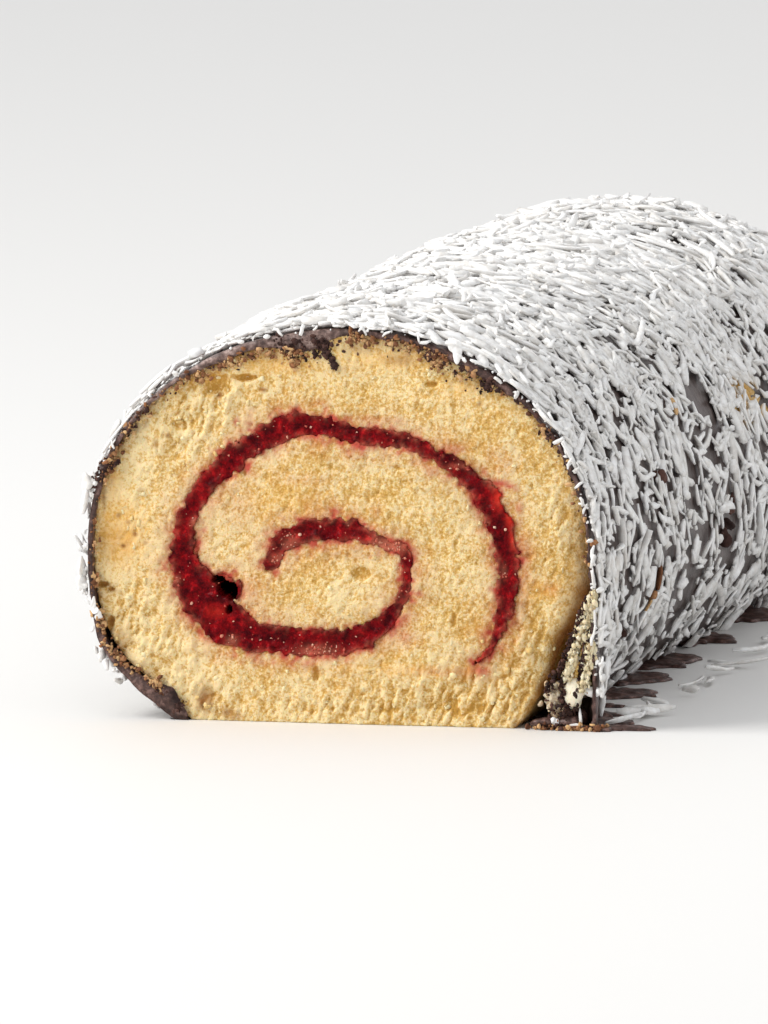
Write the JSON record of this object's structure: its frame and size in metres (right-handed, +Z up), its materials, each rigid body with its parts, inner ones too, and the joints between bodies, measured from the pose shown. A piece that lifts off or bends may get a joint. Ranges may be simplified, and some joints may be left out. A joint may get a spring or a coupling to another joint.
{
  "type": "lamington roll",
  "caption": "Sponge roll cake with a jam spiral at its cut end, coated in chocolate and shredded coconut, lying on its flat base.",
  "frame": {"origin": "centre of the bounding box on the plane the roll rests on", "axes": "+Y along the roll from the cut end to the coated end, +Z up, +X to the right of the cut face as it is seen"},
  "size_m": [0.1024, 0.271, 0.0774],
  "materials": {
    "sponge": "golden vanilla sponge, open crumb with fine pores",
    "jam": "glossy dark red berry jam",
    "chocolate_coat": "thin dark chocolate icing under white shredded coconut",
    "torn_skin": "torn sponge crumb"
  },
  "bodies": {
    "root": {"sponge": "sponge", "jam": "jam", "chocolate_coat": "chocolate_coat", "torn_skin": "torn_skin"}
  },
  "joints": []
}
